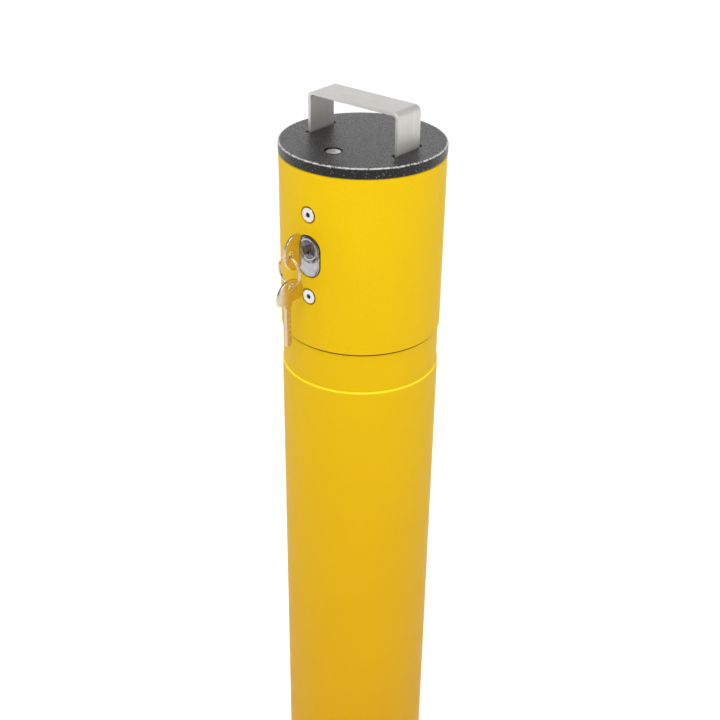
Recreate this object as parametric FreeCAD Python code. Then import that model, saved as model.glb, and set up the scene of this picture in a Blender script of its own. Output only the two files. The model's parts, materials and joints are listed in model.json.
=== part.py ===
import FreeCAD, Part
import os
from math import cos, radians, sin, sqrt

# A lift-out steel safety bollard, in millimetres.
# The origin is the centre of the base plate's underside. +Z is up and -Y is the front, where
# the lock is. The post stands over a spigot on the base plate. Twisting the head a quarter
# turn twists a long shaft, whose cam bar catches under the slotted lock plate in the spigot.

# ---- Driving dimensions -------------------------------------------------------------------
HEIGHT = 900.0              # base underside to the top of the cap
POST_R = 70.0               # outside radius of the post tube
POST_WALL = 5.0
CAP_R = 70.5
CAP_T = 9.0
SLEEVE_R = 70.2
SLEEVE_WALL = 4.0
SLEEVE_H = 157.0            # visible height of the twisting head below the cap
NECK_R = 69.0               # the band between the head and the post is a little smaller
NECK_H = 36.0
SEAM = 1.0                  # open seam between the head and the neck

PLATE_SIDE = 200.0
PLATE_T = 12.0
PLATE_CORNER_R = 14.0
ANCHOR_SPACING = 160.0
ANCHOR_HOLE_R = 7.0
DRAIN_R = 5.0
DRAIN_Y = -45.0
SPIGOT_R = 64.5
SPIGOT_WALL = 6.0
SPIGOT_H = 60.0
LOCK_PLATE_T = 10.0
KEY_SLOT_LENGTH = 90.0
KEY_SLOT_WIDTH = 24.0
TURN_KEY_W = 11.0           # block on the base that stops the post itself from turning
TURN_KEY_H = 12.0
TURN_KEY_GAP = 0.5

SHAFT_R = 9.0
BUSH_GAP = 0.06             # running clearance of a shaft in its bush, on the radius
BUSH_R = 12.5
BUSH_FLANGE_R = 16.0
BUSH_FLANGE_T = 1.8
CAM_LENGTH = 84.0
CAM_WIDTH = 20.0
CAM_H = 15.0
CAM_BOSS_R = 15.0
CAM_RAMP_START = 16.0       # the ramps run outwards from here
CAM_RAMP_W = 10.0
CAM_RAMP_DROP = 3.6
CAM_PIN_R = 2.5
FIT_GAP = 0.1               # clearance between pieces that are fixed together
LEDGE_W = 5.0
LEDGE_T = 6.0
COLLAR_WALL = 10.0
COLLAR_SPIGOT_H = 40.0      # how far the neck collar reaches down inside the post
INDEX_PLATE_T = 12.0
BULKHEAD_Z = 90.0
BULKHEAD_T = 8.0
BULKHEAD_DRAIN_R = 8.0
BULKHEAD_DRAIN_PCR = 40.0
THRUST_IN_R = 45.0
THRUST_OUT_R = 57.0
THRUST_T = 2.0
HEAD_PLATE_T = 8.0
HUB_R = 18.0
HUB_H = 30.0
HUB_PIN_R = 3.0
HUB_PIN_RISE = 16.0         # hub pin above the head plate
RETAINER_R = 17.0
RETAINER_H = 14.0
RETAINER_GAP = 0.3
GRUB_R = 2.5
GRUB_SOCKET_AF = 2.5
GRUB_SOCKET_DEPTH = 2.0
TWIST_STOP_R = 38.0         # distance of the twist stop pin from the bollard's axis
TWIST_STOP_ANGLE = 135.0
TWIST_STOP_PIN_R = 4.0
TWIST_STOP_GAP = 0.4
TWIST = 90.0                # degrees that the head turns between free and locked

LOCK_DROP = 82.3            # centre of the lock face below the top of the cap
LOCK_W = 23.0
LOCK_H = 36.0
LOCK_OPENING_GAP = 0.8
LOCK_FACE_Y = -69.7
LOCK_BACK_Y = -37.5
PLUG_R = 8.0
PLUG_FACE_Y = -70.3
KEYWAY_W = 2.8
KEYWAY_H = 7.6
LOCK_SCREW_SPACING = 73.1
LOCK_SCREW_HEAD_R = 6.6
LOCK_SCREW_RECESS = 0.35    # the flat heads sit this far inside the sleeve's front line
SCREW_R = 3.0
SOCKET_AF = 4.0             # across flats of the hexagon sockets
HOUSING_W = 40.0
HOUSING_H = 88.0
HOUSING_BACK_Y = -40.0
LOCK_SCREW_L = 24.0
CRANK_SCREW_R = 2.0
CRANK_SCREW_HEAD_R = 3.2
CRANK_SCREW_HEAD_H = 2.0
CRANK_R = 12.0
CRANK_T = 3.0
CRANK_PIN_R = 2.5
BOLT_THROW = 12.0
BOLT_R = 6.0
BOLT_Y = -28.0
BOLT_GAP = 0.08             # running clearance of the bolt in its guide, on the radius
BOLT_HOLE_GAP = 0.6         # clearance of the bolt in the index holes, on the radius
BOLT_HEAD_T = 5.0
BOLT_HEAD_TO_X = 16.0
BOLT_SLOT_FROM_X = 2.5
BOLT_SLOT_TO_X = 12.5
BOLT_SLOT_GAP = 0.5
BOLT_GUIDE_W = 40.0
BOLT_GUIDE_D = 18.0
BOLT_GUIDE_H = 24.0
GUIDE_SCREW_X = 14.0
GUIDE_SCREW_R = 2.0
GUIDE_SCREW_HEAD_R = 3.4
GUIDE_SCREW_HEAD_H = 3.0
GUIDE_SCREW_SEAT = 4.0
GUIDE_SCREW_BACK = 2.0      # the guide's screws stand this far in front of the bolt's axis

HANDLE_LENGTH = 94.0
HANDLE_WIDTH = 30.0
HANDLE_T = 3.0
HANDLE_RISE = 34.5          # top of the handle above the cap
HANDLE_BEND_R = 5.5
HANDLE_LEG_END_DROP = 32.0  # leg ends below the top of the cap, with the handle up
SLOT_LENGTH = 36.5
SLOT_WIDTH = 4.8
STOP_PIN_R = 2.5
STOP_PIN_L = 12.0
GRIP_H = 14.0               # the nylon guides that grip the handle's legs
GRIP_W = 10.0
GRIP_LENGTH = 46.0
GRIP_SIDE_GAP = 0.3
GRIP_END_GAP = 0.4
GRIP_SCREW_Y = 19.2
GRIP_SCREW_R = 1.5
GRIP_SCREW_HEAD_R = 2.7
GRIP_SCREW_HEAD_H = 2.2
GRIP_SCREW_SEAT = 2.5
CAP_LIP_H = 5.0
CAP_LIP_WALL = 4.0
CAP_SCREW_Y = -38.0
CAP_SCREW_HEAD_R = 6.5
CAP_SCREW_HEAD_H = 2.9
CAP_SCREW_L = 18.0
CAP_COUNTERBORE_R = 7.6
CAP_COUNTERBORE_DEPTH = 3.6
BRACKET_W = 24.0
BRACKET_T = 6.0
BRACKET_DROP = 2.0          # gap under the cap that the bracket's two pads fill
BRACKET_PAD_L = 16.0
BRACKET_FOOT_H = 14.0

KEY_T = 2.2
KEY_BOW_W = 31.0
KEY_BOW_L = 20.0
KEY_SHOULDER_L = 6.3        # the straight-sided part of the bow, next to the blade
KEY_CORNER_R = 4.0
KEY_HOLE_R = 3.0
KEY_HOLE_EDGE = 6.2         # hole centre to the end of the bow
KEY_BLADE_OFFSET = 3.0      # the blade lies this far to one side of the bow's middle
KEY_TOTAL_L = 60.3
KEY_BLADE_W = 6.6
KEY_COLLAR_W = 9.0          # the wider neck between bow and blade
KEY_COLLAR_L = 4.0
KEY_TIP_W = 1.6
KEY_HOLE_Y = -93.0          # the hole of the key that is in the lock
RING_WIRE_R = 0.9
RING_R = 12.4
RING_YAW = -7.0
RING_GAP = 0.25

# ---- Heights and places that follow from them ------------------------------------------------
CAP_Z = HEIGHT - CAP_T
SLEEVE_Z = CAP_Z - SLEEVE_H
NECK_TOP_Z = SLEEVE_Z - SEAM
POST_TOP_Z = NECK_TOP_Z - NECK_H
INDEX_Z = NECK_TOP_Z - INDEX_PLATE_T
HEAD_PLATE_Z = NECK_TOP_Z + THRUST_T
HEAD_PLATE_TOP_Z = HEAD_PLATE_Z + HEAD_PLATE_T
SLEEVE_IN_R = SLEEVE_R - SLEEVE_WALL
POST_IN_R = POST_R - POST_WALL
SPIGOT_IN_R = SPIGOT_R - SPIGOT_WALL
SPIGOT_TOP_Z = PLATE_T + SPIGOT_H
LOCK_PLATE_Z = SPIGOT_TOP_Z - LOCK_PLATE_T
CAM_TOP_Z = LOCK_PLATE_Z - 0.5
CAM_Z = CAM_TOP_Z - CAM_H
CAM_PIN_Z = CAM_TOP_Z - CAM_H / 2
HUB_PIN_Z = HEAD_PLATE_TOP_Z + HUB_PIN_RISE
SHAFT_TOP_Z = HEAD_PLATE_TOP_Z + HUB_H + 4.0
RETAINER_TOP_Z = INDEX_Z - RETAINER_GAP
GRUB_Z = RETAINER_TOP_Z - RETAINER_H / 2
COLLAR_IN_R = NECK_R - COLLAR_WALL
LOCK_Z = HEIGHT - LOCK_DROP
PLUG_Z = LOCK_Z + (LOCK_H - LOCK_W) / 2
LEG_X = (HANDLE_LENGTH - HANDLE_T) / 2
LEG_SIDES = (-LEG_X, LEG_X)
GRIP_Z = CAP_Z - GRIP_H
GRIP_SCREW_SEAT_Z = GRIP_Z + GRIP_SCREW_SEAT
STOP_PIN_Z = GRIP_Z - STOP_PIN_R - 0.3
CAP_LIP_IN_R = SLEEVE_IN_R - CAP_LIP_WALL
CRANK_Y = LOCK_BACK_Y + 0.5
CRANK_BACK_Y = CRANK_Y + CRANK_T
CRANK_PIN_Z = PLUG_Z + BOLT_THROW / 2
GUIDE_SCREW_Y = BOLT_Y - GUIDE_SCREW_BACK
ORIGIN = FreeCAD.Vector(0, 0, 0)
X_AXIS = FreeCAD.Vector(1, 0, 0)
Y_AXIS = FreeCAD.Vector(0, 1, 0)
Z_AXIS = FreeCAD.Vector(0, 0, 1)
Vector = FreeCAD.Vector


# ---- Shape helpers ---------------------------------------------------------------------------
def disc(radius, z_low, z_high, x=0.0, y=0.0):
    """A solid cylinder along Z."""
    return Part.makeCylinder(radius, z_high - z_low, Vector(x, y, z_low))


def ring(outer, inner, z_low, z_high, x=0.0, y=0.0):
    """A hollow cylinder along Z."""
    return disc(outer, z_low, z_high, x, y).cut(disc(inner, z_low - 1, z_high + 1, x, y))


def rod_along_y(radius, x, z, y_low, y_high):
    return Part.makeCylinder(radius, y_high - y_low, Vector(x, y_low, z), Y_AXIS)


def rod_along_x(radius, y, z, x_low, x_high):
    return Part.makeCylinder(radius, x_high - x_low, Vector(x_low, y, z), X_AXIS)


def block(x_low, x_high, y_low, y_high, z_low, z_high):
    return Part.makeBox(x_high - x_low, y_high - y_low, z_high - z_low, Vector(x_low, y_low, z_low))


def obround_along_y(width, height, z_centre, y_low, y_high):
    """An upright slot shape with round ends, extruded along Y on the plane X = 0."""
    end = (height - width) / 2
    middle = block(-width / 2, width / 2, y_low, y_high, z_centre - end, z_centre + end)
    top = rod_along_y(width / 2, 0, z_centre + end, y_low, y_high)
    bottom = rod_along_y(width / 2, 0, z_centre - end, y_low, y_high)
    return middle.fuse([top, bottom]).removeSplitter()


def slot_along_y(length, width, x, z_low, z_high):
    """A slot with round ends whose long side lies along Y, extruded along Z."""
    end = (length - width) / 2
    middle = block(x - width / 2, x + width / 2, -end, end, z_low, z_high)
    ends = [disc(width / 2, z_low, z_high, x, side * end) for side in (-1, 1)]
    return middle.fuse(ends).removeSplitter()


def hexagon(across_flats, depth):
    """A hexagonal prism along +Z from the origin."""
    corner_r = across_flats / sqrt(3)
    corners = [Vector(corner_r * cos(radians(60 * i)), corner_r * sin(radians(60 * i)), 0)
               for i in range(7)]
    return Part.Face(Part.makePolygon(corners)).extrude(Vector(0, 0, depth))


def polar(radius, angle):
    return radius * cos(radians(angle)), radius * sin(radians(angle))


def turned_to(shape, direction, place):
    """Turns a shape made along +Z so that it runs along direction, and puts it at place."""
    moved = shape.copy()
    moved.Placement = FreeCAD.Placement(place, FreeCAD.Rotation(Z_AXIS, direction))
    return moved


def lifted(shape, height):
    return shape.translated(Vector(0, 0, height))


def outer_rim_edges(shape, z):
    """The outermost round edges of a turned shape at height z."""
    level = [edge for edge in shape.Edges
             if abs(edge.BoundBox.ZMin - z) < 0.01 and abs(edge.BoundBox.ZMax - z) < 0.01]
    reach = max(edge.BoundBox.XMax for edge in level)
    return [edge for edge in level if edge.BoundBox.XMax > reach - 0.1]


def cap_head_screw(shank_r, shank_length, head_r, head_h, socket):
    """A socket screw standing on its head's underside at z = 0, with its shank below."""
    head = disc(head_r, 0, head_h).cut(lifted(hexagon(socket, head_h), head_h * 0.4))
    return head.fuse(disc(shank_r, -shank_length, 0)).removeSplitter()


def countersunk_screw(shank_r, length, head_r, socket):
    """A countersunk socket screw with its flat face at z = 0 and its shank below."""
    cone_h = head_r - shank_r
    cone = Part.makeCone(shank_r, head_r, cone_h, Vector(0, 0, -cone_h))
    body = cone.fuse(disc(shank_r, -length, -cone_h)).removeSplitter()
    return body.cut(lifted(hexagon(socket, socket), -socket * 0.6))


# ---- Ground base -----------------------------------------------------------------------------
def base_plate():
    half = PLATE_SIDE / 2
    plate = block(-half, half, -half, half, 0, PLATE_T)
    corners = [edge for edge in plate.Edges if edge.BoundBox.ZMax - edge.BoundBox.ZMin > 1]
    plate = plate.makeFillet(PLATE_CORNER_R, corners)
    top_edges = [edge for edge in plate.Edges if edge.BoundBox.ZMin > PLATE_T - 0.01]
    plate = plate.makeChamfer(1.0, top_edges)
    sides = (-ANCHOR_SPACING / 2, ANCHOR_SPACING / 2)
    holes = [disc(ANCHOR_HOLE_R, -1, PLATE_T + 1, x, y) for x in sides for y in sides]
    return plate.cut(holes + [disc(DRAIN_R, -1, PLATE_T + 1, 0, DRAIN_Y)])


def spigot_ring():
    spigot = ring(SPIGOT_R, SPIGOT_IN_R, PLATE_T, SPIGOT_TOP_Z)
    return spigot.makeChamfer(2.5, outer_rim_edges(spigot, SPIGOT_TOP_Z))


def lock_plate():
    """The plate in the top of the spigot, with the slot that the cam bar drops through."""
    low = LOCK_PLATE_Z - 1
    high = SPIGOT_TOP_Z + 1
    half_l = KEY_SLOT_LENGTH / 2
    half_w = KEY_SLOT_WIDTH / 2
    slot = block(-half_l, half_l, -half_w, half_w, low, high)
    boss_hole = disc(CAM_BOSS_R + 1, low, high)
    return disc(SPIGOT_IN_R - FIT_GAP, LOCK_PLATE_Z, SPIGOT_TOP_Z).cut(slot.fuse(boss_hole))


def lock_plate_ledge():
    """The ring inside the spigot that carries the lock plate."""
    return ring(SPIGOT_IN_R - FIT_GAP, SPIGOT_IN_R - LEDGE_W, LOCK_PLATE_Z - LEDGE_T, LOCK_PLATE_Z)


def anti_turn_key():
    """The block at the back of the spigot that fits a notch in the post's foot."""
    top = PLATE_T + TURN_KEY_H
    key_block = block(-TURN_KEY_W / 2, TURN_KEY_W / 2, 0, POST_R, PLATE_T, top)
    return key_block.common(ring(POST_R - 0.5, SPIGOT_R + FIT_GAP, PLATE_T, top))


# ---- Post ------------------------------------------------------------------------------------
def post_tube():
    tube = ring(POST_R, POST_IN_R, PLATE_T, POST_TOP_Z)
    rims = outer_rim_edges(tube, PLATE_T) + outer_rim_edges(tube, POST_TOP_Z)
    tube = tube.makeChamfer(0.8, rims)
    half = TURN_KEY_W / 2 + TURN_KEY_GAP
    return tube.cut(block(-half, half, 0, POST_R + 1, PLATE_T - 1, PLATE_T + TURN_KEY_H + 2))


def neck_collar():
    """The turned ring between post and head, with a spigot that fits down inside the post."""
    band = ring(NECK_R, COLLAR_IN_R, POST_TOP_Z, NECK_TOP_Z)
    spigot = ring(POST_IN_R - FIT_GAP, COLLAR_IN_R, POST_TOP_Z - COLLAR_SPIGOT_H, POST_TOP_Z)
    collar = band.fuse(spigot).removeSplitter()
    return collar.makeChamfer(0.6, outer_rim_edges(collar, NECK_TOP_Z))


def index_plate():
    low = INDEX_Z - 1
    high = NECK_TOP_Z + 1
    bush_hole = disc(BUSH_R + FIT_GAP, low, high)
    bolt_holes = [disc(BOLT_R + BOLT_HOLE_GAP, low, high, *polar(-BOLT_Y, angle))
                  for angle in (-90, -90 + TWIST)]
    stop_place = polar(TWIST_STOP_R, TWIST_STOP_ANGLE)
    stop_hole = disc(TWIST_STOP_PIN_R + FIT_GAP, low, high, *stop_place)
    return disc(COLLAR_IN_R - FIT_GAP, INDEX_Z, NECK_TOP_Z).cut([bush_hole, stop_hole] + bolt_holes)


def twist_stop_pin():
    x, y = polar(TWIST_STOP_R, TWIST_STOP_ANGLE)
    return disc(TWIST_STOP_PIN_R, INDEX_Z, HEAD_PLATE_TOP_Z - 1, x, y)


def thrust_washer():
    return ring(THRUST_OUT_R, THRUST_IN_R, NECK_TOP_Z, HEAD_PLATE_Z)


def flanged_bush(z_low, z_high):
    barrel = ring(BUSH_R, SHAFT_R + BUSH_GAP, z_low, z_high)
    flange = ring(BUSH_FLANGE_R, SHAFT_R + BUSH_GAP, z_high, z_high + BUSH_FLANGE_T)
    return barrel.fuse(flange).removeSplitter()


def upper_bush():
    return flanged_bush(INDEX_Z, NECK_TOP_Z)


def lower_bush():
    return flanged_bush(BULKHEAD_Z - 4, BULKHEAD_Z + BULKHEAD_T)


def lower_bulkhead():
    """The plate across the post that holds the lower bush."""
    top = BULKHEAD_Z + BULKHEAD_T
    drains = [disc(BULKHEAD_DRAIN_R, BULKHEAD_Z - 1, top + 1, *polar(BULKHEAD_DRAIN_PCR, angle))
              for angle in range(45, 360, 90)]
    return ring(POST_IN_R - FIT_GAP, BUSH_R + FIT_GAP, BULKHEAD_Z, top).cut(drains)


# ---- Twisting head ---------------------------------------------------------------------------
def lock_screw_heights():
    return [LOCK_Z - LOCK_SCREW_SPACING / 2, LOCK_Z + LOCK_SCREW_SPACING / 2]


def head_sleeve():
    sleeve = ring(SLEEVE_R, SLEEVE_IN_R, SLEEVE_Z, CAP_Z)
    sleeve = sleeve.makeChamfer(0.6, outer_rim_edges(sleeve, SLEEVE_Z))
    gap = 2 * LOCK_OPENING_GAP
    sleeve = sleeve.cut(obround_along_y(LOCK_W + gap, LOCK_H + gap, LOCK_Z, -SLEEVE_R - 1, 0))
    mouth = LOCK_SCREW_HEAD_R + LOCK_SCREW_RECESS + 0.05
    for z in lock_screw_heights():
        sink = Part.makeCone(mouth, SCREW_R, mouth - SCREW_R, Vector(0, -SLEEVE_R, z), Y_AXIS)
        sleeve = sleeve.cut([sink, rod_along_y(SCREW_R + FIT_GAP, 0, z, -SLEEVE_R, 0)])
    return sleeve


def top_cap():
    cap = disc(CAP_R, CAP_Z, HEIGHT)
    cap = cap.makeFillet(1.2, outer_rim_edges(cap, HEIGHT))
    lip = ring(SLEEVE_IN_R - FIT_GAP, CAP_LIP_IN_R, CAP_Z - CAP_LIP_H, CAP_Z)
    slots = [slot_along_y(SLOT_LENGTH, SLOT_WIDTH, x, CAP_Z - 1, HEIGHT + 1) for x in LEG_SIDES]
    counterbore = disc(CAP_COUNTERBORE_R, HEIGHT - CAP_COUNTERBORE_DEPTH, HEIGHT + 1, 0, CAP_SCREW_Y)
    screw_hole = disc(SCREW_R + 0.3, CAP_Z - 1, HEIGHT, 0, CAP_SCREW_Y)
    return cap.fuse(lip).removeSplitter().cut(slots + [counterbore, screw_hole])


def cap_screw():
    screw = cap_head_screw(SCREW_R, CAP_SCREW_L, CAP_SCREW_HEAD_R, CAP_SCREW_HEAD_H, SOCKET_AF)
    return screw.translated(Vector(0, CAP_SCREW_Y, HEIGHT - CAP_COUNTERBORE_DEPTH))


def cap_bracket():
    """The strap across the top of the head that the cap is screwed down to."""
    half = BRACKET_W / 2
    reach = CAP_LIP_IN_R - 0.5
    strap_top = CAP_Z - BRACKET_DROP
    strap_low = strap_top - BRACKET_T
    strap = block(-half, half, -reach, reach, strap_low, strap_top)
    pads = [block(-half, half, y - BRACKET_PAD_L / 2, y + BRACKET_PAD_L / 2, strap_top, CAP_Z)
            for y in (CAP_SCREW_Y, -CAP_SCREW_Y)]
    feet = [block(-half, half, y - BRACKET_T, y + BRACKET_T, strap_low - BRACKET_FOOT_H, strap_low)
            for y in (-reach, reach)]
    whole = strap.fuse(pads + feet).removeSplitter()
    whole = whole.common(disc(reach, strap_low - BRACKET_FOOT_H, CAP_Z))
    return whole.cut(disc(SCREW_R + FIT_GAP, strap_low - 1, CAP_Z + 1, 0, CAP_SCREW_Y))


def head_plate():
    """The plate welded in the foot of the head, which turns on the thrust washer."""
    low = HEAD_PLATE_Z - 1
    high = HEAD_PLATE_TOP_Z + 1
    bolt_hole = disc(BOLT_R + BOLT_HOLE_GAP, low, high, 0, BOLT_Y)
    slot_r = TWIST_STOP_PIN_R + TWIST_STOP_GAP
    start = TWIST_STOP_ANGLE - TWIST
    sector = Part.makeCylinder(TWIST_STOP_R + slot_r, high - low, Vector(0, 0, low), Z_AXIS, TWIST)
    arc_slot = sector.rotated(ORIGIN, Z_AXIS, start).cut(disc(TWIST_STOP_R - slot_r, low, high))
    ends = [disc(slot_r, low, high, *polar(TWIST_STOP_R, angle)) for angle in (start, TWIST_STOP_ANGLE)]
    plate = ring(SLEEVE_IN_R - FIT_GAP, SHAFT_R + FIT_GAP, HEAD_PLATE_Z, HEAD_PLATE_TOP_Z)
    return plate.cut([bolt_hole, arc_slot.fuse(ends)])


def shaft_hub():
    hub = ring(HUB_R, SHAFT_R + FIT_GAP, HEAD_PLATE_TOP_Z, HEAD_PLATE_TOP_Z + HUB_H)
    return hub.cut(rod_along_x(HUB_PIN_R + FIT_GAP, 0, HUB_PIN_Z, -HUB_R - 1, HUB_R + 1))


def cam_shaft():
    shaft = disc(SHAFT_R, CAM_Z, SHAFT_TOP_Z)
    shaft = shaft.makeChamfer(1.0, outer_rim_edges(shaft, CAM_Z) + outer_rim_edges(shaft, SHAFT_TOP_Z))
    hub_hole = rod_along_x(HUB_PIN_R + FIT_GAP, 0, HUB_PIN_Z, -SHAFT_R - 1, SHAFT_R + 1)
    cam_hole = rod_along_y(CAM_PIN_R + FIT_GAP, 0, CAM_PIN_Z, -SHAFT_R - 1, SHAFT_R + 1)
    return shaft.cut([hub_hole, cam_hole])


def hub_pin():
    return rod_along_x(HUB_PIN_R, 0, HUB_PIN_Z, 0.5 - HUB_R, HUB_R - 0.5)


def retaining_collar():
    """The collar under the index plate that keeps the head from lifting off the post."""
    collar = ring(RETAINER_R, SHAFT_R + FIT_GAP, RETAINER_TOP_Z - RETAINER_H, RETAINER_TOP_Z)
    return collar.cut(rod_along_x(GRUB_R + FIT_GAP, 0, GRUB_Z, SHAFT_R - 2, RETAINER_R + 1))


def collar_grub_screw():
    end = RETAINER_R - 0.5
    screw = rod_along_x(GRUB_R, 0, GRUB_Z, SHAFT_R, end)
    socket = hexagon(GRUB_SOCKET_AF, GRUB_SOCKET_DEPTH + 1)
    return screw.cut(turned_to(socket, X_AXIS, Vector(end - GRUB_SOCKET_DEPTH, 0, GRUB_Z)))


def lock_cam():
    """The bar at the shaft's foot. Its ramps draw the post down as it turns under the plate."""
    half_l = CAM_LENGTH / 2
    half_w = CAM_WIDTH / 2
    bar = block(-half_l, half_l, -half_w, half_w, CAM_Z, CAM_TOP_Z)
    bar = bar.common(disc(half_l, CAM_Z, CAM_TOP_Z)).fuse(disc(CAM_BOSS_R, CAM_Z, CAM_TOP_Z))
    inner_edge = Vector(CAM_RAMP_START, half_w - CAM_RAMP_W, CAM_TOP_Z)
    lower_edge = Vector(CAM_RAMP_START, half_w, CAM_TOP_Z - CAM_RAMP_DROP)
    upper_edge = Vector(CAM_RAMP_START, half_w, CAM_TOP_Z)
    section = Part.Face(Part.makePolygon([inner_edge, lower_edge, upper_edge, inner_edge]))
    wedge = section.extrude(Vector(half_l, 0, 0))
    opposite = wedge.rotated(ORIGIN, Z_AXIS, 180)
    shaft_hole = disc(SHAFT_R + FIT_GAP, CAM_Z - 1, CAM_TOP_Z + 1)
    pin_hole = rod_along_y(CAM_PIN_R + FIT_GAP, 0, CAM_PIN_Z, -CAM_BOSS_R - 1, CAM_BOSS_R + 1)
    return bar.cut([wedge, opposite, shaft_hole, pin_hole]).removeSplitter()


def cam_pin():
    return rod_along_y(CAM_PIN_R, 0, CAM_PIN_Z, 0.5 - CAM_BOSS_R, CAM_BOSS_R - 0.5)


def lock_housing():
    low = LOCK_Z - HOUSING_H / 2
    high = LOCK_Z + HOUSING_H / 2
    housing = block(-HOUSING_W / 2, HOUSING_W / 2, -SLEEVE_IN_R, HOUSING_BACK_Y, low, high)
    housing = housing.common(disc(SLEEVE_IN_R - FIT_GAP, low, high))
    bore = obround_along_y(LOCK_W + 2 * FIT_GAP, LOCK_H + 2 * FIT_GAP, LOCK_Z, -SLEEVE_R, 0)
    screws = [rod_along_y(SCREW_R + FIT_GAP, 0, z, -SLEEVE_R, 0) for z in lock_screw_heights()]
    return housing.cut([bore] + screws)


def lock_screws():
    screw = countersunk_screw(SCREW_R, LOCK_SCREW_L, LOCK_SCREW_HEAD_R, SOCKET_AF)
    face_y = LOCK_SCREW_RECESS - SLEEVE_R
    return Part.makeCompound([turned_to(screw, -Y_AXIS, Vector(0, face_y, z)) for z in lock_screw_heights()])


def lock_cylinder():
    body = obround_along_y(LOCK_W, LOCK_H, LOCK_Z, LOCK_FACE_Y, LOCK_BACK_Y)
    front = [edge for edge in body.Edges if edge.BoundBox.YMax < LOCK_FACE_Y + 0.01]
    body = body.makeFillet(0.8, front)
    return body.cut(rod_along_y(PLUG_R + BOLT_GAP, 0, PLUG_Z, LOCK_FACE_Y - 1, LOCK_BACK_Y + 1))


def bolt_guide():
    low = HEAD_PLATE_TOP_Z
    high = low + BOLT_GUIDE_H
    half_w = BOLT_GUIDE_W / 2
    half_d = BOLT_GUIDE_D / 2
    guide = block(-half_w, half_w, BOLT_Y - half_d, BOLT_Y + half_d, low, high)
    hub_space = disc(HUB_R + 0.5, low - 1, high + 1)
    bolt_bore = disc(BOLT_R + BOLT_GAP, low - 1, high + 1, 0, BOLT_Y)
    seat_z = high - GUIDE_SCREW_SEAT
    cuts = [hub_space, bolt_bore]
    for x in (-GUIDE_SCREW_X, GUIDE_SCREW_X):
        cuts.append(disc(GUIDE_SCREW_R + FIT_GAP, low - 1, high, x, GUIDE_SCREW_Y))
        cuts.append(disc(GUIDE_SCREW_HEAD_R + 0.2, seat_z, high + 1, x, GUIDE_SCREW_Y))
    return guide.cut(cuts)


def bolt_guide_screws():
    seat_h = BOLT_GUIDE_H - GUIDE_SCREW_SEAT
    screw = cap_head_screw(GUIDE_SCREW_R, seat_h, GUIDE_SCREW_HEAD_R, GUIDE_SCREW_HEAD_H, 3.0)
    seat_z = HEAD_PLATE_TOP_Z + seat_h
    return Part.makeCompound([screw.translated(Vector(x, GUIDE_SCREW_Y, seat_z))
                              for x in (-GUIDE_SCREW_X, GUIDE_SCREW_X)])


def handle_guides():
    """The two slotted nylon blocks under the cap that grip the handle's legs."""
    half_w = HANDLE_T / 2 + GRIP_SIDE_GAP
    half_l = HANDLE_WIDTH / 2 + GRIP_END_GAP
    low = GRIP_Z - 1
    high = CAP_Z + 1
    guides = []
    for x in LEG_SIDES:
        guide = block(x - GRIP_W / 2, x + GRIP_W / 2, -GRIP_LENGTH / 2, GRIP_LENGTH / 2, GRIP_Z, CAP_Z)
        cuts = [block(x - half_w, x + half_w, -half_l, half_l, low, high)]
        for y in (-GRIP_SCREW_Y, GRIP_SCREW_Y):
            cuts.append(disc(GRIP_SCREW_R + FIT_GAP, low, high, x, y))
            cuts.append(disc(GRIP_SCREW_HEAD_R + 0.2, low, GRIP_SCREW_SEAT_Z, x, y))
        guides.append(guide.cut(cuts))
    return Part.makeCompound(guides)


def handle_guide_screws():
    length = GRIP_H - GRIP_SCREW_SEAT
    screw = cap_head_screw(GRIP_SCREW_R, length, GRIP_SCREW_HEAD_R, GRIP_SCREW_HEAD_H, 2.0)
    screw = screw.rotated(ORIGIN, X_AXIS, 180)
    places = [(x, y) for x in LEG_SIDES for y in (-GRIP_SCREW_Y, GRIP_SCREW_Y)]
    return Part.makeCompound([screw.translated(Vector(x, y, GRIP_SCREW_SEAT_Z)) for x, y in places])


# ---- Handle ----------------------------------------------------------------------------------
def bend_edges(shape, z):
    """The edges along Y at height z, where a flat bar is bent."""
    return [edge for edge in shape.Edges
            if edge.BoundBox.ZMin > z - 0.01 and edge.BoundBox.XMax - edge.BoundBox.XMin < 0.01]


def handle_bar():
    """A flat bar bent into a bridge, with its two legs reaching down through the cap."""
    half_l = HANDLE_LENGTH / 2
    half_w = HANDLE_WIDTH / 2
    top = HEIGHT + HANDLE_RISE
    foot = HEIGHT - HANDLE_LEG_END_DROP
    outer = block(-half_l, half_l, -half_w, half_w, foot, top)
    outer = outer.makeFillet(HANDLE_BEND_R, bend_edges(outer, top))
    inner = block(HANDLE_T - half_l, half_l - HANDLE_T, -half_w, half_w, foot, top - HANDLE_T)
    inner = inner.makeFillet(HANDLE_BEND_R - HANDLE_T, bend_edges(inner, top - HANDLE_T))
    pin_holes = [rod_along_x(STOP_PIN_R + 0.05, 0, STOP_PIN_Z, x - HANDLE_T, x + HANDLE_T) for x in LEG_SIDES]
    return outer.cut([inner] + pin_holes)


def handle_stop_pins():
    """Pins through the legs that stop the handle at the top, under its guides."""
    half = STOP_PIN_L / 2
    return Part.makeCompound([rod_along_x(STOP_PIN_R, 0, STOP_PIN_Z, x - half, x + half) for x in LEG_SIDES])


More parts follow.
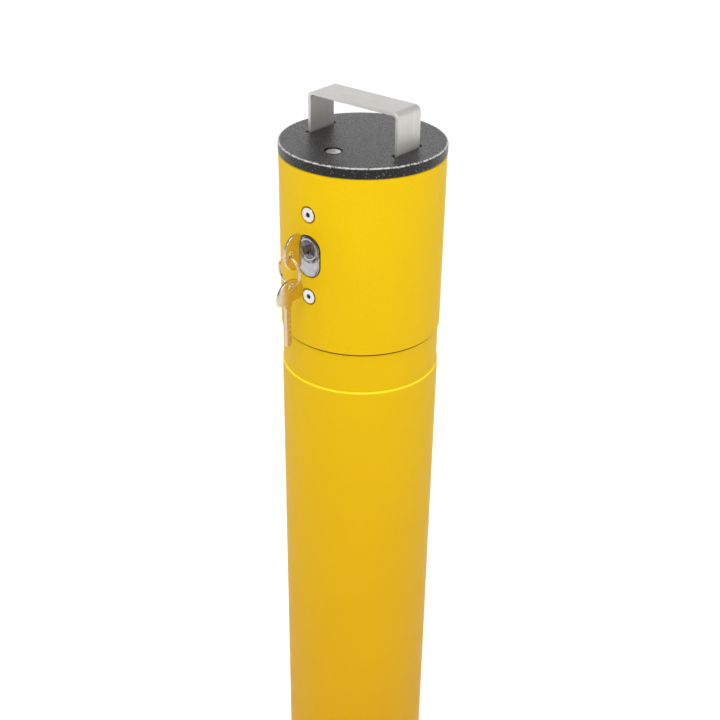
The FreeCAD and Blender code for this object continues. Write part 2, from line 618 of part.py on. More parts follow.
# ---- Lock plug and bolt ------------------------------------------------------------------------
def lock_plug():
    plug = rod_along_y(PLUG_R, 0, PLUG_Z, PLUG_FACE_Y, CRANK_Y)
    plug = plug.makeChamfer(0.5, [edge for edge in plug.Edges if edge.BoundBox.YMax < PLUG_FACE_Y + 0.01])
    keyway_end = CRANK_Y - 1
    keyway = block(-KEYWAY_W / 2, KEYWAY_W / 2, PLUG_FACE_Y - 1, keyway_end,
                   PLUG_Z - KEYWAY_H / 2, PLUG_Z + KEYWAY_H / 2)
    return plug.cut([keyway, rod_along_y(CRANK_SCREW_R + FIT_GAP, 0, PLUG_Z, keyway_end - 0.1, CRANK_Y + 1)])


def crank():
    """The disc on the back of the plug, with the off-centre pin that drives the bolt."""
    plate = rod_along_y(CRANK_R, 0, PLUG_Z, CRANK_Y, CRANK_BACK_Y)
    pin = rod_along_y(CRANK_PIN_R, BOLT_THROW / 2, CRANK_PIN_Z, CRANK_BACK_Y, BOLT_Y + 3)
    screw_hole = rod_along_y(CRANK_SCREW_R + FIT_GAP, 0, PLUG_Z, CRANK_Y - 1, CRANK_BACK_Y + 1)
    return plate.fuse(pin).removeSplitter().cut(screw_hole)


def crank_screw():
    screw = cap_head_screw(CRANK_SCREW_R, CRANK_T + 0.9, CRANK_SCREW_HEAD_R, CRANK_SCREW_HEAD_H, 2.5)
    return turned_to(screw, Y_AXIS, Vector(0, CRANK_BACK_Y, PLUG_Z))


def lock_bolt():
    """The pin that drops into the index plate, with the slotted head that the crank moves."""
    tip_z = HEAD_PLATE_Z + 1
    rod = disc(BOLT_R, tip_z, PLUG_Z - BOLT_THROW, 0, BOLT_Y)
    rod = rod.makeChamfer(1.2, outer_rim_edges(rod, tip_z))
    half_t = BOLT_HEAD_T / 2
    slot_half = CRANK_PIN_R + BOLT_SLOT_GAP
    head = block(-BOLT_R, BOLT_HEAD_TO_X, BOLT_Y - half_t, BOLT_Y + half_t,
                 PLUG_Z - BOLT_THROW - 4, CRANK_PIN_Z + slot_half + 5)
    slot = block(BOLT_SLOT_FROM_X, BOLT_SLOT_TO_X, BOLT_Y - BOLT_HEAD_T, BOLT_Y + BOLT_HEAD_T,
                 CRANK_PIN_Z - slot_half, CRANK_PIN_Z + slot_half)
    return rod.fuse(head).removeSplitter().cut(slot)


# ---- Keys ---------------------------------------------------------------------------------------
def key_bow():
    """The bow: a half oval on a straight-sided shoulder with two rounded corners."""
    left = -KEY_T / 2
    half_w = KEY_BOW_W / 2
    end = KEY_BOW_L - KEY_HOLE_EDGE
    dome_y = end - KEY_SHOULDER_L
    oval = Part.Wire(Part.Ellipse(ORIGIN, half_w, KEY_BOW_L - KEY_SHOULDER_L).toShape())
    dome = Part.Face(oval).extrude(Vector(0, 0, KEY_T)).rotated(ORIGIN, Y_AXIS, 90)
    dome = dome.translated(Vector(left, dome_y, 0))
    dome = dome.common(block(left, -left, -KEY_BOW_L, dome_y, -half_w, half_w))
    shoulder = block(left, -left, dome_y, end, -half_w, half_w)
    inner_edges = [edge for edge in shoulder.Edges if edge.BoundBox.YMin > end - 0.01]
    corners = [edge for edge in inner_edges if edge.BoundBox.ZLength < 0.01]
    return dome.fuse(shoulder.makeFillet(KEY_CORNER_R, corners))


def key_shape():
    """A flat key with its hole at the origin, its blade along +Y and its thickness along X."""
    left = -KEY_T / 2
    collar_start = KEY_BOW_L - KEY_HOLE_EDGE
    collar_end = collar_start + KEY_COLLAR_L
    collar = block(left, -left, collar_start, collar_end, -KEY_COLLAR_W / 2, KEY_COLLAR_W / 2)
    tip = KEY_TOTAL_L - KEY_HOLE_EDGE
    half = KEY_BLADE_W / 2
    bevel = half - KEY_TIP_W / 2
    outline = [(collar_end, -half), (tip - bevel, -half), (tip, -KEY_TIP_W / 2),
               (tip, KEY_TIP_W / 2), (tip - bevel, half), (collar_end, half), (collar_end, -half)]
    blade = Part.Face(Part.makePolygon([Vector(left, y, z) for y, z in outline])).extrude(Vector(KEY_T, 0, 0))
    blade = blade.fuse(collar).translated(Vector(0, 0, -KEY_BLADE_OFFSET))
    return key_bow().fuse(blade).removeSplitter().cut(rod_along_x(KEY_HOLE_R, 0, 0, -KEY_T, KEY_T))


def key_hole():
    """The hole's centre in the key that is in the lock."""
    return Vector(0, KEY_HOLE_Y, PLUG_Z + KEY_BLADE_OFFSET)


def hang_depth():
    """How far below a key hole's centre the ring's wire lies when it hangs there."""
    return KEY_HOLE_R - RING_WIRE_R - RING_GAP


def ring_top():
    """The wire's centre where the ring hangs in the hole of the key that is in the lock."""
    return key_hole() - Vector(0, 0, hang_depth())


def key():
    return key_shape().translated(key_hole())


def split_ring():
    loop = Part.makeTorus(RING_R, RING_WIRE_R, ORIGIN, Y_AXIS).rotated(ORIGIN, Z_AXIS, RING_YAW)
    return loop.translated(ring_top() - Vector(0, 0, RING_R))


def spare_key():
    hanging = key_shape().rotated(ORIGIN, X_AXIS, -90)
    return hanging.translated(ring_top() - Vector(0, 0, 2 * RING_R + hang_depth()))


PIECES = [
    base_plate, spigot_ring, lock_plate, lock_plate_ledge, anti_turn_key,
    post_tube, neck_collar, index_plate, twist_stop_pin, thrust_washer, upper_bush,
    lower_bulkhead, lower_bush,
    head_sleeve, top_cap, cap_screw, cap_bracket, head_plate, shaft_hub, cam_shaft, hub_pin,
    retaining_collar, collar_grub_screw, lock_cam, cam_pin, lock_housing, lock_screws,
    lock_cylinder, bolt_guide, bolt_guide_screws, handle_guides, handle_guide_screws,
    handle_bar, handle_stop_pins, lock_plug, crank, crank_screw, lock_bolt,
    key, split_ring, spare_key,
]

os.makedirs("parts", exist_ok=True)
for piece in PIECES:
    piece().exportStep(f"parts/{piece.__name__}.step")
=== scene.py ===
import json
import math

import bmesh
import bpy
from mathutils import Matrix, Vector


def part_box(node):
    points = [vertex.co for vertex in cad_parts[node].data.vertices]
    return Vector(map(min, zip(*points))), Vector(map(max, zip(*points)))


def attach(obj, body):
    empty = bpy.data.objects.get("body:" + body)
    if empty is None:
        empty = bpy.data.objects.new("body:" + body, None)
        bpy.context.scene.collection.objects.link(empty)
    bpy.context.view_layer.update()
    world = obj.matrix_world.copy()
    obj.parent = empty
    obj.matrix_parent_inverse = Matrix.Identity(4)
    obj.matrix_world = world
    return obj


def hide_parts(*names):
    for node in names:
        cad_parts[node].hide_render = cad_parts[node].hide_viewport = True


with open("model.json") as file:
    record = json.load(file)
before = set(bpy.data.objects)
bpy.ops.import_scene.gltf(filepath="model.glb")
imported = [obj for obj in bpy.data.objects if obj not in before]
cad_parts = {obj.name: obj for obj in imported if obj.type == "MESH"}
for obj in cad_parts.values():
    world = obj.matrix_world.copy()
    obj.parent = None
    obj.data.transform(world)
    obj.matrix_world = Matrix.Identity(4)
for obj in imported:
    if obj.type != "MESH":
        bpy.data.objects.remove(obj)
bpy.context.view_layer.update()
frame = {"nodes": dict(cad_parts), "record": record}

MM = 0.001


# ---- Places, read from the frame ---------------------------------------------------------------
def low(node):
    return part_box(node)[0]


def high(node):
    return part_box(node)[1]


def middle(node):
    return (low(node) + high(node)) / 2


CAP_TOP_Z = high("top_cap").z
CAP_LOW_Z = high("head_sleeve").z
CAP_R = high("top_cap").x
SLEEVE_LOW_Z = low("head_sleeve").z
SLEEVE_R = high("head_sleeve").x
NECK_R = high("neck_collar").x
NECK_TOP_Z = high("neck_collar").z
POST_R = high("post_tube").x
POST_TOP_Z = high("post_tube").z
POST_LOW_Z = low("post_tube").z
SPIGOT_R = high("spigot_ring").x
SPIGOT_TOP_Z = high("spigot_ring").z
LOCK = middle("lock_cylinder")
PLUG = middle("lock_plug")
KEY_HOLE_EDGE = 6.2 * MM
KEY_LENGTH = high("key").y - low("key").y
KEY_HOLE = Vector((0, low("key").y + KEY_HOLE_EDGE, middle("key").z))
KEY_BLADE_OFFSET = KEY_HOLE.z - PLUG.z
SPARE_HOLE = Vector((0, middle("spare_key").y, high("spare_key").z - KEY_HOLE_EDGE))
RING_YAW = math.radians(-7)
BAR_T = 3 * MM
SCREW_R = 3 * MM
SOCKET_AF = 4 * MM
CAP_SEAT_Z = CAP_TOP_Z - 3.6 * MM


# ---- Mesh helpers ------------------------------------------------------------------------------
SHARP_ANGLE = math.radians(32)
CUT_EDGE_ANGLE = math.radians(50)


def add_piece(name, mesh, body, material, replaced):
    """Puts a finished mesh in the scene, smooth shaded, riding on a CAD body in place of its nodes."""
    mesh.shade_smooth()
    mesh.set_sharp_from_angle(angle=SHARP_ANGLE)
    piece = bpy.data.objects.new(name, mesh)
    bpy.context.scene.collection.objects.link(piece)
    mesh.materials.clear()
    mesh.materials.append(material)
    even = piece.modifiers.new("even_shading", "WEIGHTED_NORMAL")
    even.keep_sharp = True
    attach(piece, body)
    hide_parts(*replaced)


def mesh_from(bm, name):
    bmesh.ops.recalc_face_normals(bm, faces=bm.faces)
    mesh = bpy.data.meshes.new(name)
    bm.to_mesh(mesh)
    bm.free()
    return mesh


def rounded(corners, steps=5):
    """A closed outline from corners (a, b, radius), each corner rounded by its own radius."""
    points = []
    count = len(corners)
    for index, (a, b, radius) in enumerate(corners):
        here = Vector((a, b))
        if radius == 0:
            points.append(here)
            continue
        before = Vector(corners[index - 1][:2]) - here
        after = Vector(corners[(index + 1) % count][:2]) - here
        half_angle = before.angle(after) / 2
        reach = radius / math.tan(half_angle)
        inward = (before.normalized() + after.normalized()).normalized()
        centre = here + inward * radius / math.sin(half_angle)
        start = here + before.normalized() * reach - centre
        end = here + after.normalized() * reach - centre
        turn = start.angle_signed(end)
        for step in range(steps + 1):
            points.append(centre + Matrix.Rotation(-turn * step / steps, 2) @ start)
    return points


def lathe(name, corners, segments=192, steps=5):
    """Turns a closed outline of (radius, height, corner radius) about the Z axis."""
    outline = rounded(corners, steps)
    bm = bmesh.new()
    rings = []
    for radius, height in outline:
        if radius < 1e-7:
            rings.append([bm.verts.new((0, 0, height))])
            continue
        rings.append([bm.verts.new((x, y, height)) for x, y in circle(radius, count=segments)])
    for index, ring in enumerate(rings):
        following = rings[(index + 1) % len(rings)]
        if len(ring) == 1 and len(following) == 1:
            continue
        for i in range(segments):
            j = (i + 1) % segments
            corners_of_face = [ring[i % len(ring)], ring[j % len(ring)],
                               following[j % len(following)], following[i % len(following)]]
            unique = list(dict.fromkeys(corners_of_face))
            bm.faces.new(unique)
    return mesh_from(bm, name)


def placed(mesh, matrix):
    mesh.transform(matrix)
    return mesh


def along_front(place):
    """Turns a mesh made about +Z so that it points out of the front, and puts it at place."""
    return Matrix.Translation(place) @ Matrix.Rotation(math.radians(90), 4, "X")


def extruded(name, outline, z_low, z_high, holes=(), bevel=0.3 * MM):
    """A plate with an outline and holes in the XY plane, with rounded top and bottom edges."""
    curve = bpy.data.curves.new(name, "CURVE")
    curve.dimensions = "2D"
    curve.fill_mode = "BOTH"
    curve.extrude = (z_high - z_low) / 2 - bevel
    curve.bevel_depth = bevel
    curve.bevel_resolution = 2
    curve.offset = -bevel
    for loop in [outline, *holes]:
        spline = curve.splines.new("POLY")
        spline.points.add(len(loop) - 1)
        spline.use_cyclic_u = True
        for point, (x, y) in zip(spline.points, loop):
            point.co = (x, y, 0, 1)
    temporary = bpy.data.objects.new(name, curve)
    bpy.context.scene.collection.objects.link(temporary)
    bpy.context.view_layer.update()
    mesh = bpy.data.meshes.new_from_object(temporary)
    bpy.data.objects.remove(temporary)
    bpy.data.curves.remove(curve)
    bm = bmesh.new()
    bm.from_mesh(mesh)
    bmesh.ops.remove_doubles(bm, verts=bm.verts, dist=1e-6)
    bmesh.ops.translate(bm, verts=bm.verts, vec=(0, 0, (z_high + z_low) / 2))
    return mesh_from(bm, name)


def circle(radius, x=0.0, y=0.0, count=48):
    turns = (2 * math.pi * i / count for i in range(count))
    return [(x + radius * math.cos(t), y + radius * math.sin(t)) for t in turns]


def obround(width, height, x=0.0, count=24):
    """An upright slot outline with round ends."""
    radius = width / 2
    end = height / 2 - radius
    points = []
    for side in (1, -1):
        for i in range(count + 1):
            angle = math.pi * i / count
            along = end + radius * math.sin(angle)
            points.append((x + side * radius * math.cos(angle), side * along))
    return points


def prism(name, outline, z_low, z_high):
    """A plain straight-sided solid, used as a cutter."""
    bm = bmesh.new()
    bottom = [bm.verts.new((x, y, z_low)) for x, y in outline]
    top = [bm.verts.new((x, y, z_high)) for x, y in outline]
    bm.faces.new(bottom)
    bm.faces.new(top)
    for i in range(len(outline)):
        j = (i + 1) % len(outline)
        bm.faces.new((bottom[i], bottom[j], top[j], top[i]))
    return mesh_from(bm, name)


def cut(mesh, cutters, bevel=0.0):
    """Cuts the cutter meshes out of mesh, and rounds the edges that this leaves."""
    body = bpy.data.objects.new("cut_body", mesh)
    bpy.context.scene.collection.objects.link(body)
    temporary = [body]
    for index, cutter_mesh in enumerate(cutters):
        cutter = bpy.data.objects.new(f"cutter_{index}", cutter_mesh)
        bpy.context.scene.collection.objects.link(cutter)
        temporary.append(cutter)
        modifier = body.modifiers.new(f"cut_{index}", "BOOLEAN")
        modifier.operation = "DIFFERENCE"
        modifier.solver = "EXACT"
        modifier.object = cutter
    if bevel:
        modifier = body.modifiers.new("edges", "BEVEL")
        modifier.limit_method = "ANGLE"
        modifier.angle_limit = CUT_EDGE_ANGLE
        modifier.width = bevel
        modifier.segments = 2
        modifier.use_clamp_overlap = True
    bpy.context.view_layer.update()
    evaluated = body.evaluated_get(bpy.context.evaluated_depsgraph_get())
    result = bpy.data.meshes.new_from_object(evaluated)
    result.name = mesh.name
    for thing in temporary:
        bpy.data.objects.remove(thing)
    return result


def sweep(name, centres, normals, sides, section):
    """Sweeps a closed section along centres. It is set out along each point's normal and side."""
    bm = bmesh.new()
    rings = []
    for centre, normal, side in zip(centres, normals, sides):
        rings.append([bm.verts.new(centre + normal * a + side * b) for a, b in section])
    count = len(section)
    for first, second in zip(rings, rings[1:]):
        for i in range(count):
            j = (i + 1) % count
            bm.faces.new((first[i], first[j], second[j], second[i]))
    bm.faces.new(rings[0])
    bm.faces.new(rings[-1])
    return mesh_from(bm, name)


# ---- Material helpers --------------------------------------------------------------------------
class Paint:
    """A Principled material with the object's own coordinates, and short calls for its nodes."""

    def __init__(self, name, roughness, metallic=0.0):
        self.material = bpy.data.materials.new(name)
        self.material.use_nodes = True
        self.tree = self.material.node_tree
        self.shader = self.tree.nodes["Principled BSDF"]
        self.shader.inputs["Roughness"].default_value = roughness
        self.shader.inputs["Metallic"].default_value = metallic
        self.coordinates = self.tree.nodes.new("ShaderNodeTexCoord").outputs["Object"]

    def link(self, source, target):
        self.tree.links.new(source, target)

    def node(self, kind, **inputs):
        made = self.tree.nodes.new(kind)
        for key, value in inputs.items():
            made.inputs[key.replace("_", " ")].default_value = value
        return made

    def stretched(self, scale, source=None, location=(0, 0, 0)):
        mapping = self.node("ShaderNodeMapping", Scale=scale, Location=location)
        self.link(source or self.coordinates, mapping.inputs["Vector"])
        return mapping.outputs["Vector"]

    def noise(self, scale, detail=2.0, roughness=0.5, vector=None):
        made = self.node("ShaderNodeTexNoise", Scale=scale, Detail=detail, Roughness=roughness)
        self.link(vector or self.coordinates, made.inputs["Vector"])
        return made.outputs["Fac"]

    def cells(self, scale):
        made = self.node("ShaderNodeTexVoronoi", Scale=scale)
        self.link(self.coordinates, made.inputs["Vector"])
        return made.outputs["Color"]

    def span(self, value, out_low, out_high, in_low=0.3, in_high=0.7):
        """Maps a noise value from its own span to another one."""
        made = self.node("ShaderNodeMapRange", From_Min=in_low, From_Max=in_high,
                         To_Min=out_low, To_Max=out_high)
        self.link(value, made.inputs["Value"])
        return made.outputs["Result"]

    def mixed(self, factor, first, second):
        made = self.tree.nodes.new("ShaderNodeMix")
        made.data_type = "RGBA"
        self.link(factor, made.inputs["Factor"])
        for socket, value in ((made.inputs[6], first), (made.inputs[7], second)):
            if isinstance(value, tuple):
                socket.default_value = (*value, 1)
            else:
                self.link(value, socket)
        return made.outputs[2]

    def product(self, first, second):
        made = self.tree.nodes.new("ShaderNodeMath")
        made.operation = "MULTIPLY"
        self.link(first, made.inputs[0])
        self.link(second, made.inputs[1])
        return made.outputs[0]

    def along(self, axis):
        """One of the object's own coordinates, in metres."""
        separate = self.tree.nodes.new("ShaderNodeSeparateXYZ")
        self.link(self.coordinates, separate.inputs["Vector"])
        return separate.outputs[axis]

    def off_axis(self, scale, location=(0, 0, 0)):
        """The distance from a line, which lies along the axis whose scale is 0."""
        length = self.tree.nodes.new("ShaderNodeVectorMath")
        length.operation = "LENGTH"
        self.link(self.stretched(scale, location=location), length.inputs[0])
        return length.outputs["Value"]

    def between(self, value, rise_from, rise_to, fall_from, fall_to):
        """1 between two edges of a value, and 0 outside them."""
        rising = self.span(value, 0, 1, rise_from, rise_to)
        falling = self.span(value, 1, 0, fall_from, fall_to)
        return self.product(rising, falling)

    def colour(self, value):
        self.link(value, self.shader.inputs["Base Color"])

    def roughness(self, value):
        self.link(value, self.shader.inputs["Roughness"])

    def bumps(self, *heights):
        """Each height is (value, distance in metres, strength)."""
        normal = None
        for value, distance, strength in heights:
            made = self.node("ShaderNodeBump", Distance=distance, Strength=strength)
            self.link(value, made.inputs["Height"])
            if normal:
                self.link(normal, made.inputs["Normal"])
            normal = made.outputs["Normal"]
        self.link(normal, self.shader.inputs["Normal"])


def yellow_powder_coat():
    """Clouded orange-peel powder coat, with painted shade that deepens it lower down, a painted
    highlight under the post tube's top edge and a painted shadow in the gap under the head sleeve.
    """
    paint = Paint("yellow_powder_coat", 0.48)
    paint.shader.inputs["Specular IOR Level"].default_value = 0.10
    cloud = paint.span(paint.noise(14, 3), 0, 1)
    speckle = paint.span(paint.noise(900, 2), 0, 0.35)
    up = paint.along("Z")
    # Painted shade: the coat darkens and turns more orange lower down the post.
    rise = paint.span(up, 0, 1, 0.3, 0.85)
    base = paint.mixed(rise, (0.610, 0.318, 0.0), (0.735, 0.482, 0.0))
    clouded = paint.mixed(rise, (0.630, 0.332, 0.0), (0.755, 0.500, 0.0))
    base = paint.mixed(cloud, base, clouded)
    base = paint.mixed(speckle, base, (0.64, 0.35, 0.0))
    # Painted highlight: a lemon strip just under the post tube's top edge.
    painted_post_rim_highlight = paint.between(up, POST_TOP_Z - 1.9 * MM, POST_TOP_Z - 1.2 * MM,
                               POST_TOP_Z, POST_TOP_Z + 0.2 * MM)
    base = paint.mixed(painted_post_rim_highlight, base, (0.88, 0.67, 0.02))
    # Painted shadow: a dark strip in the gap between the neck collar and the head sleeve.
    painted_seam_shadow = paint.between(up, NECK_TOP_Z - 0.5 * MM, NECK_TOP_Z - 0.1 * MM,
                         SLEEVE_LOW_Z + 0.1 * MM, SLEEVE_LOW_Z + 0.5 * MM)
    base = paint.mixed(painted_seam_shadow, base, (0.14, 0.08, 0.0))
    foot = paint.span(up, 0.35, 0.0, 0.012, 0.09)
    dust = paint.product(foot, paint.span(paint.noise(120, 6, 0.7), 0, 1))
    paint.colour(paint.mixed(dust, base, (0.46, 0.38, 0.22)))
    paint.roughness(paint.span(paint.noise(40, 4), 0.46, 0.56))
    paint.bumps((paint.noise(520, 2, 0.4), 0.00006, 0.5), (paint.noise(1900, 1), 0.00002, 0.35))
    return paint.material


def black_powder_coat():
    """Textured black powder coat, with small bright flecks and a lighter, broken rim that is partly
    worn coat and partly a painted highlight.
    """
    paint = Paint("black_powder_coat", 0.26)
    paint.shader.inputs["Specular IOR Level"].default_value = 0.3
    flecks = paint.span(paint.noise(680, 3, 0.65), 0, 1, 0.62, 0.70)
    base = paint.mixed(flecks, (0.005, 0.0045, 0.005), (0.30, 0.27, 0.26))
    # Painted highlight along the cap's top rim, broken up like worn coat and lighter all round.
    outer = paint.span(paint.off_axis((1, 1, 0)), 0, 1, CAP_R - 1.7 * MM, CAP_R - 0.9 * MM)
    upper = paint.span(paint.along("Z"), 0, 1, CAP_TOP_Z - 1.3 * MM, CAP_TOP_Z - 0.6 * MM)
    broken = paint.span(paint.noise(330, 3, 0.6), 0.1, 1, 0.38, 0.52)
    rim = paint.product(paint.product(outer, upper), broken)
    paint.colour(paint.mixed(rim, base, (0.50, 0.48, 0.46)))
    paint.roughness(paint.span(paint.noise(700, 3), 0.14, 0.34))
    paint.bumps((paint.noise(560, 3, 0.6), 0.0009, 1.0), (paint.noise(2200, 1), 0.00006, 0.5))
    return paint.material


def brushed_stainless():
    """Stainless bar brushed along its length, on the piece's own length coordinates."""
    paint = Paint("brushed_stainless", 0.46, 0.76)
    texture = paint.tree.nodes["Texture Coordinate"]
    streaks = paint.stretched((9, 1100, 1), texture.outputs["UV"])
    fine = paint.noise(1.0, 4, 0.6, streaks)
    cloud = paint.span(paint.noise(60, 3), 0, 1)
    base = paint.mixed(cloud, (0.64, 0.625, 0.595), (0.70, 0.685, 0.655))
    paint.colour(paint.mixed(paint.span(fine, 0, 0.5), base, (0.50, 0.49, 0.46)))
    paint.roughness(paint.span(fine, 0.40, 0.52))
    paint.bumps((fine, 0.00002, 0.35), (paint.noise(1200, 2), 0.000015, 0.3))
    return paint.material


def turned_stainless(name, axis, face, depth, painted_socket_shade):
    """Clouded stainless fastener heads. Below the face they fade over a depth to a painted shade
    colour, which darkens the sockets.
    """
    paint = Paint(name, 0.28, 1.0)
    cloud = paint.span(paint.noise(500, 3), 0, 1)
    # Painted shade: the face darkens with depth into the socket.
    below = paint.span(paint.along(axis), 0, 1, face + 0.3 * depth, face + depth)
    clean = paint.mixed(cloud, (0.66, 0.65, 0.63), (0.82, 0.81, 0.79))
    paint.colour(paint.mixed(below, clean, painted_socket_shade))
    paint.roughness(paint.span(paint.noise(1500, 3), 0.2, 0.36))
    paint.bumps((paint.noise(2200, 2), 0.00002, 0.4))
    return paint.material


def galvanised_steel():
    """Hot-dip galvanised plate, with its dull crystal spangle."""
    paint = Paint("galvanised_steel", 0.45, 1.0)
    spangle = paint.cells(85)
    small = paint.cells(260)
    grey = paint.mixed(spangle, (0.42, 0.44, 0.46), (0.60, 0.62, 0.65))
    paint.colour(paint.mixed(paint.span(small, 0, 0.3, 0, 1), grey, (0.50, 0.52, 0.54)))
    paint.roughness(paint.span(spangle, 0.36, 0.56, 0, 1))
    paint.bumps((paint.noise(45, 3), 0.0004, 0.25), (small, 0.00002, 0.3))
    return paint.material


def zinc_plated_steel():
    """Machined and zinc-plated steel of the inner works."""
    paint = Paint("zinc_plated_steel", 0.36, 1.0)
    marks = paint.noise(1.0, 3, 0.6, paint.stretched((70, 70, 2400)))
    cloud = paint.span(paint.noise(35, 4), 0, 1)
    base = paint.mixed(cloud, (0.50, 0.50, 0.51), (0.60, 0.60, 0.60))
    paint.colour(paint.mixed(paint.span(marks, 0, 0.4), base, (0.42, 0.42, 0.42)))
    paint.roughness(paint.span(marks, 0.28, 0.46))
    paint.bumps((marks, 0.00003, 0.5))
    return paint.material


def sintered_bronze():
    paint = Paint("sintered_bronze", 0.38, 1.0)
    grains = paint.span(paint.noise(900, 3), 0, 1)
    paint.colour(paint.mixed(grains, (0.50, 0.30, 0.11), (0.66, 0.43, 0.18)))
    paint.roughness(paint.span(paint.noise(200, 3), 0.3, 0.48))
    paint.bumps((paint.noise(1400, 2), 0.00003, 0.5))
    return paint.material


def black_nylon():
    paint = Paint("black_nylon", 0.5)
    cloud = paint.span(paint.noise(80, 3), 0, 1)
    paint.colour(paint.mixed(cloud, (0.018, 0.018, 0.019), (0.035, 0.035, 0.037)))
    paint.roughness(paint.span(paint.noise(300, 2), 0.42, 0.58))
    paint.bumps((paint.noise(900, 2), 0.00003, 0.4))
    return paint.material


def satin_chrome():
    """The lock cylinder's plated face: bright and pebbled, with a painted dark reflection, a dark,
    patchy ring round the plug.
    """
    paint = Paint("satin_chrome", 0.16, 1.0)
    cloud = paint.span(paint.noise(260, 3), 0, 1)
    satin = paint.mixed(cloud, (0.40, 0.39, 0.42), (0.52, 0.51, 0.53))
    from_plug = paint.off_axis((1, 0, 1), (0, 0, -PLUG.z))
    # Painted dark reflection: a dark, patchy ring round the plug's bore.
    ring = paint.between(from_plug, 9.2 * MM, 9.8 * MM, 11.6 * MM, 13 * MM)
    painted_dark_reflection = paint.product(ring, paint.span(paint.noise(190, 2), 0.35, 1, 0.38, 0.56))
    paint.colour(paint.mixed(painted_dark_reflection, satin, (0.07, 0.07, 0.08)))
    paint.roughness(paint.span(paint.noise(1300, 3), 0.10, 0.26))
    paint.bumps((paint.noise(1100, 3), 0.00004, 0.55))
    return paint.material


def polished_chrome():
    paint = Paint("polished_chrome", 0.07, 1.0)
    cloud = paint.span(paint.noise(300, 2), 0, 1)
    # The plug's dark colour is painted dark reflection.
    paint.colour(paint.mixed(cloud, (0.07, 0.07, 0.08), (0.22, 0.22, 0.23)))
    paint.roughness(paint.span(paint.noise(900, 3), 0.04, 0.12))
    paint.bumps((paint.noise(160, 2), 0.00003, 0.4))
    return paint.material


def polished_nickel():
    """Key plating: a mirror with fine handling scratches."""
    paint = Paint("polished_nickel", 0.08, 1.0)
    scratches = paint.noise(1.0, 3, 0.6, paint.stretched((90, 2600, 500)))
    cloud = paint.span(paint.noise(150, 3), 0, 1)
    paint.colour(paint.mixed(cloud, (0.61, 0.49, 0.34), (0.71, 0.58, 0.42)))
    paint.roughness(paint.span(scratches, 0.04, 0.17))
    paint.bumps((scratches, 0.000015, 0.35), (paint.noise(90, 2), 0.0001, 0.25))
    return paint.material


YELLOW = yellow_powder_coat()
BLACK = black_powder_coat()
BRUSHED = brushed_stainless()
# Their last colours are painted shade inside the sockets.
SIDE_SCREWS = turned_stainless("turned_stainless_side", "Y", low("lock_screws").y, 1.1 * MM,
                               (0.22, 0.22, 0.27))
STAINLESS = turned_stainless("turned_stainless_top", "Z", high("cap_screw").z, -1.1 * MM,
                             (0.58, 0.58, 0.57))
GALVANISED = galvanised_steel()
ZINC = zinc_plated_steel()
BRONZE = sintered_bronze()
NYLON = black_nylon()
SATIN = satin_chrome()
CHROME = polished_chrome()
NICKEL = polished_nickel()

SLOT_MATERIALS = {
    "yellow_powder_coat": YELLOW, "black_powder_coat": BLACK, "stainless_steel": STAINLESS,
    "galvanised_steel": GALVANISED, "plain_steel": ZINC, "bronze": BRONZE, "nylon": NYLON,
    "chrome": CHROME, "nickel": NICKEL,
}


def finish_cad_nodes():
    """Every CAD node gets its slot's material. Those that stay visible are the plain inner works."""
    for subpart in frame["record"]["subparts"]:
        mesh = frame["nodes"][subpart["node"]].data
        mesh.materials.clear()
        mesh.materials.append(SLOT_MATERIALS[subpart["material_slot"]])


# ---- Post, neck and base -----------------------------------------------------------------------
def post_tube():
    wall = 5 * MM
    corners = [(POST_R, POST_LOW_Z, 0.8 * MM), (POST_R, POST_TOP_Z, 0.9 * MM),
               (POST_R - wall, POST_TOP_Z, 0.3 * MM), (POST_R - wall, POST_LOW_Z, 0.3 * MM)]
    mesh = lathe("post_tube_coated", corners, 256)
    gap = 0.5 * MM
    key_low, key_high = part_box("anti_turn_key")
    notch_w = (key_high.x - key_low.x) / 2 + gap
    beyond = POST_R * 1.1
    notch = prism("notch", [(-notch_w, 0), (notch_w, 0), (notch_w, beyond), (-notch_w, beyond)],
                  POST_LOW_Z - 0.01, key_high.z + 2 * MM)
    mesh = cut(mesh, [notch], 0.4 * MM)
    add_piece("post_tube_coated", mesh, "post", YELLOW, ["post_tube"])


def neck_collar():
    wall = 10 * MM
    inner = NECK_R - wall
    spigot_r = POST_R - 5.1 * MM
    low_z = low("neck_collar").z
    corners = [(inner, low_z, 0.3 * MM), (spigot_r, low_z, 1 * MM), (spigot_r, POST_TOP_Z, 0),
               (NECK_R, POST_TOP_Z, 0.4 * MM), (NECK_R, NECK_TOP_Z, 0.8 * MM),
               (inner, NECK_TOP_Z, 0.3 * MM)]
    mesh = lathe("neck_collar_coated", corners, 256)
    add_piece("neck_collar_coated", mesh, "post", YELLOW, ["neck_collar"])


def base_plate():
    plate_low, plate_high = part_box("base_plate")
    half = plate_high.x
    corner = 14 * MM
    outline = rounded([(half, -half, corner), (half, half, corner), (-half, half, corner),
                       (-half, -half, corner)], 12)
    anchor = frame["record"]["mounts"][0]["dims"]
    side_x = anchor["spacing_x_mm"] * MM / 2
    side_y = anchor["spacing_y_mm"] * MM / 2
    hole_r = anchor["hole_r_mm"] * MM
    holes = [circle(hole_r, x, y) for x in (-side_x, side_x) for y in (-side_y, side_y)]
    drain_r = 5 * MM
    drain_y = -45 * MM
    holes.append(circle(drain_r, 0, drain_y))
    mesh = extruded("base_plate_galvanised", [tuple(p) for p in outline],
                    plate_low.z, plate_high.z, holes, 0.9 * MM)
    add_piece("base_plate_galvanised", mesh, "ground_base", GALVANISED,
              ["base_plate"])


def spigot_ring():
    wall = 6 * MM
    corners = [(SPIGOT_R, POST_LOW_Z, 0), (SPIGOT_R, SPIGOT_TOP_Z, 2.6 * MM),
               (SPIGOT_R - wall, SPIGOT_TOP_Z, 0.3 * MM), (SPIGOT_R - wall, POST_LOW_Z, 0)]
    mesh = lathe("spigot_galvanised", corners, 192)
    add_piece("spigot_galvanised", mesh, "ground_base", GALVANISED, ["spigot_ring"])


